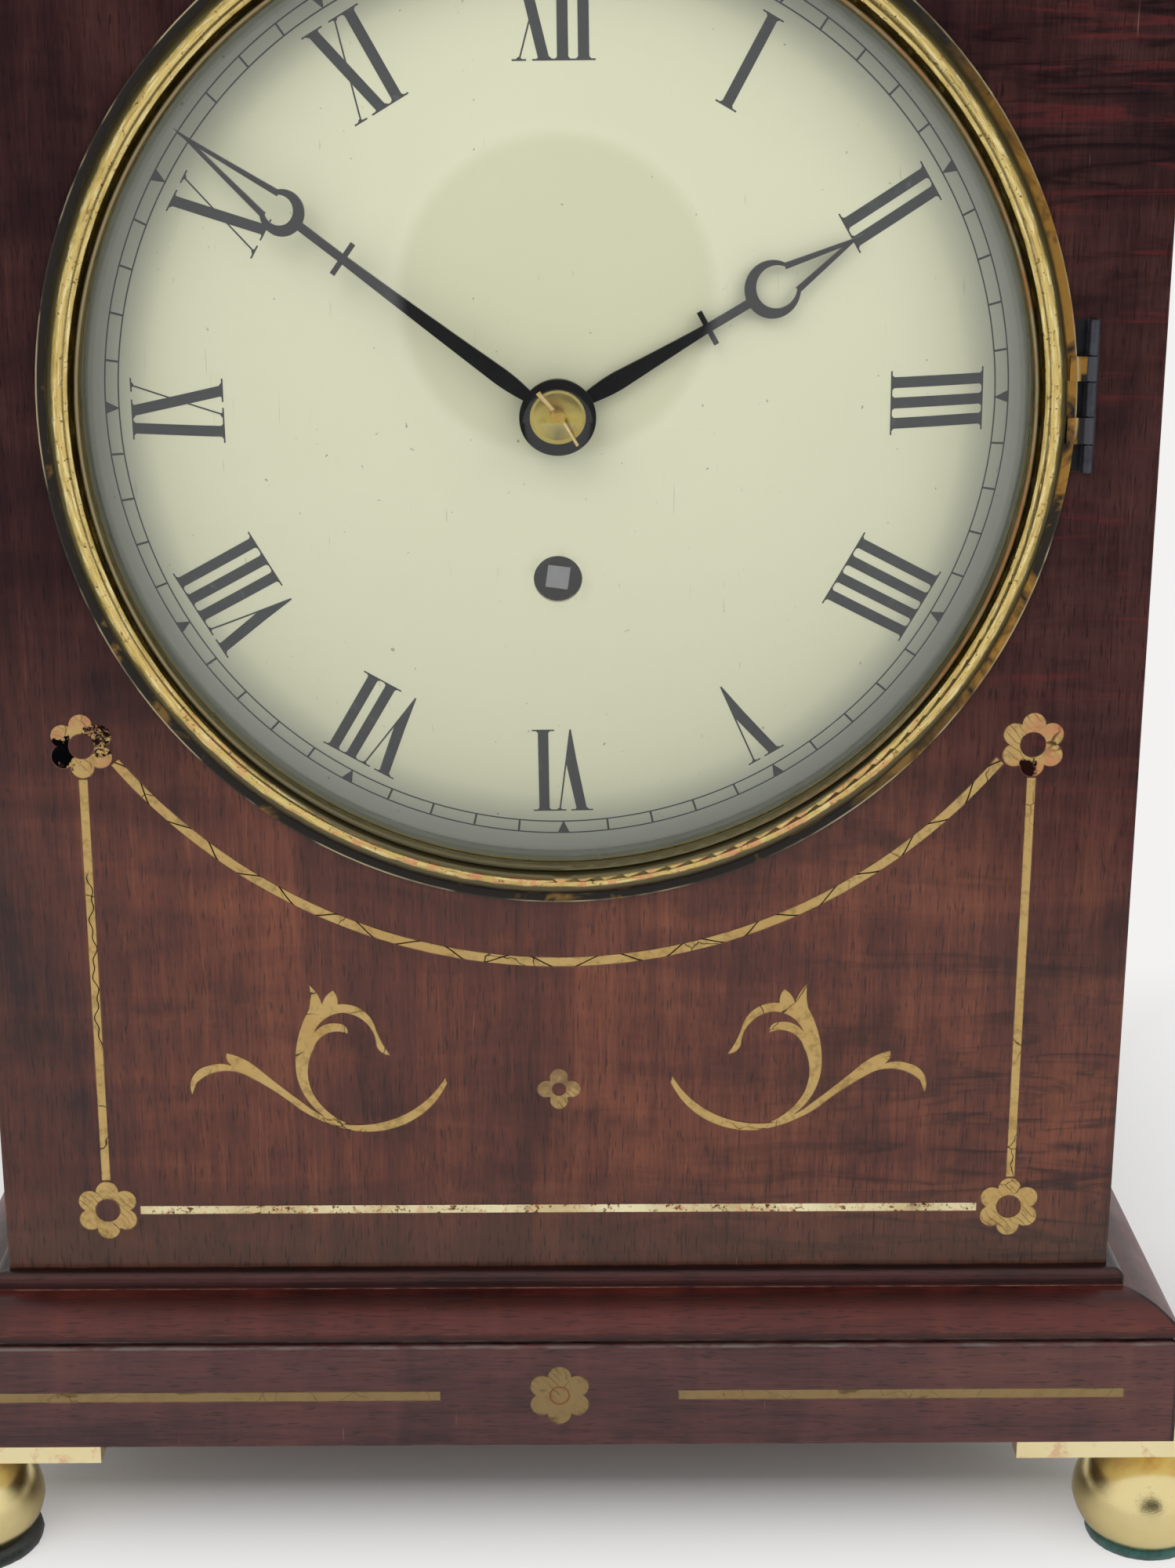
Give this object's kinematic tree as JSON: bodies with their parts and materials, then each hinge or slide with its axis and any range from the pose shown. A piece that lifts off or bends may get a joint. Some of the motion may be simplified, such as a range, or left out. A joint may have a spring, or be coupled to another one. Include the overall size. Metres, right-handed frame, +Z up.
{
  "type": "bracket clock",
  "caption": "Mahogany bracket clock with brass inlay, convex painted dial behind a hinged glazed bezel, winding movement, pendulum, side ring handles and ball feet",
  "frame": {"origin": "under the middle of the bounding box, on the surface that the feet stand on", "axes": "+X to the right as seen from the front, +Y from the dial to the back, +Z up"},
  "size_m": [0.3036, 0.1874, 0.4976],
  "materials": {
    "mahogany": "polished figured mahogany, glossy",
    "carcass_wood": "plain mahogany, satin",
    "inlay_brass": "flush brass inlay, dulled",
    "bezel_brass": "old lacquered brass with tarnish",
    "polished_brass": "polished brass with fine scratches",
    "movement_brass": "clean brass",
    "movement_steel": "polished steel",
    "black_steel": "blackened steel",
    "hand_steel": "blackened steel hands",
    "dial_paint": "cream enamel paint, satin",
    "silvered_ring": "silvered, dull",
    "clear_glass": "clear",
    "teal_felt": "felt",
    "silk": "pleated silk"
  },
  "bodies": {
    "case": {"front_panel": "mahogany", "left_side_panel": "mahogany", "right_side_panel": "mahogany", "base_moulding": "mahogany", "plinth_boards": "mahogany", "cornice": "mahogany", "roof": "mahogany", "bottom_board": "carcass_wood", "top_board": "carcass_wood", "back_frame": "carcass_wood", "seat_board": "carcass_wood", "inlay_flowers": "inlay_brass", "inlay_lines": "inlay_brass", "inlay_swag": "inlay_brass", "inlay_scrolls": "inlay_brass", "finial": "polished_brass", "ball_feet": "polished_brass", "foot_plates": "polished_brass", "handle_bosses": "polished_brass", "side_frets": "polished_brass", "back_hinges": "polished_brass", "front_plate": "movement_brass", "back_plate": "movement_brass", "plate_pillars": "movement_brass", "back_cock": "movement_brass", "pillar_pins": "movement_steel", "seat_screws": "movement_steel", "bezel_hinge_leaf": "black_steel", "dial": "dial_paint", "dial_feet": "dial_paint", "sight_ring": "silvered_ring", "foot_pads": "teal_felt", "fret_cloths": "silk"},
    "bezel_door": {"bezel": "bezel_brass", "bezel_glass": "clear_glass", "glass_ring": "bezel_brass"},
    "back_door": {"back_door_frame": "mahogany", "back_door_glass": "clear_glass", "back_door_brasses": "polished_brass"},
    "left_ring": {"left_ring_handle": "polished_brass"},
    "right_ring": {"right_ring_handle": "polished_brass"},
    "centre_arbor": {"centre_wheel": "movement_brass", "cannon_pinion": "movement_steel", "minute_hand": "hand_steel", "hand_collet": "polished_brass", "hand_pin": "polished_brass"},
    "hour_pipe": {"hour_wheel": "movement_brass", "hour_hand": "hand_steel"},
    "motion_wheel": {"minute_wheel": "movement_brass"},
    "barrel_drum": {"barrel": "movement_brass", "mainspring": "movement_steel"},
    "winding_arbor": {"barrel_arbor": "movement_steel", "ratchet_wheel": "movement_steel"},
    "click_lever": {"click": "movement_steel"},
    "intermediate_arbor": {"intermediate_wheel": "movement_brass"},
    "third_arbor": {"third_wheel": "movement_brass"},
    "escape_arbor": {"escape_wheel": "movement_brass"},
    "pallet_arbor": {"anchor": "movement_steel"},
    "pendulum": {"pendulum_rod": "movement_steel", "pendulum_bob": "movement_brass"}
  },
  "joints": [
    {"name": "bezel_hinge", "type": "hinge", "parent": "case", "child": "bezel_door", "pos_m": [0.1078, -0.0741, 0.2619], "axis": [0, 0, 1], "range_deg": [0, 110]},
    {"name": "back_door_hinge", "type": "hinge", "parent": "case", "child": "back_door", "pos_m": [-0.095, 0.0847, 0.2619], "axis": [0, 0, 1], "range_deg": [0, 110]},
    {"name": "left_ring_swing", "type": "hinge", "parent": "case", "child": "left_ring", "pos_m": [-0.1298, 0.0052, 0.3139], "axis": [0, 1, 0], "range_deg": [0, 110]},
    {"name": "right_ring_swing", "type": "hinge", "parent": "case", "child": "right_ring", "pos_m": [0.1298, 0.0052, 0.3139], "axis": [0, -1, 0], "range_deg": [0, 110]},
    {"name": "minute_turn", "type": "hinge", "parent": "case", "child": "centre_arbor", "pos_m": [0, -0.0723, 0.2619], "axis": [0, 1, 0], "continuous": true},
    {"name": "hour_turn", "type": "hinge", "parent": "case", "child": "hour_pipe", "pos_m": [0, -0.0723, 0.2619], "axis": [0, 1, 0], "continuous": true},
    {"name": "motion_wheel_turn", "type": "hinge", "parent": "case", "child": "motion_wheel", "pos_m": [0.01358, -0.0723, 0.27548], "axis": [0, 1, 0], "continuous": true},
    {"name": "barrel_turn", "type": "hinge", "parent": "case", "child": "barrel_drum", "pos_m": [0, -0.0723, 0.2279], "axis": [0, 1, 0], "continuous": true},
    {"name": "winding_turn", "type": "hinge", "parent": "case", "child": "winding_arbor", "pos_m": [0, -0.0723, 0.2279], "axis": [0, 1, 0], "continuous": true},
    {"name": "click_rock", "type": "hinge", "parent": "case", "child": "click_lever", "pos_m": [-0.0145, -0.0723, 0.2324], "axis": [0, -1, 0], "range_deg": [0, 12]},
    {"name": "intermediate_turn", "type": "hinge", "parent": "case", "child": "intermediate_arbor", "pos_m": [0.01943, -0.0723, 0.24997], "axis": [0, 1, 0], "continuous": true},
    {"name": "third_turn", "type": "hinge", "parent": "case", "child": "third_arbor", "pos_m": [-0.01253, -0.0723, 0.27979], "axis": [0, 1, 0], "continuous": true},
    {"name": "escape_turn", "type": "hinge", "parent": "case", "child": "escape_arbor", "pos_m": [0, -0.0723, 0.29394], "axis": [0, 1, 0], "continuous": true},
    {"name": "pendulum_swing", "type": "hinge", "parent": "case", "child": "pendulum", "pos_m": [0, -0.0723, 0.31514], "axis": [0, 1, 0], "range_deg": [-3, 3]},
    {"name": "pallet_rock", "type": "hinge", "parent": "case", "child": "pallet_arbor", "pos_m": [0, -0.0723, 0.31514], "axis": [0, 1, 0], "range_deg": [-3, 3]}
  ],
  "couplings": [
    {"joint": "motion_wheel_turn", "follows": "minute_turn", "ratio": -0.33333},
    {"joint": "hour_turn", "follows": "minute_turn", "ratio": 0.083333},
    {"joint": "intermediate_turn", "follows": "minute_turn", "ratio": -0.1875},
    {"joint": "barrel_turn", "follows": "minute_turn", "ratio": 0.03125},
    {"joint": "third_turn", "follows": "minute_turn", "ratio": -12},
    {"joint": "escape_turn", "follows": "minute_turn", "ratio": 132},
    {"joint": "pallet_rock", "follows": "pendulum_swing", "ratio": 1}
  ]
}
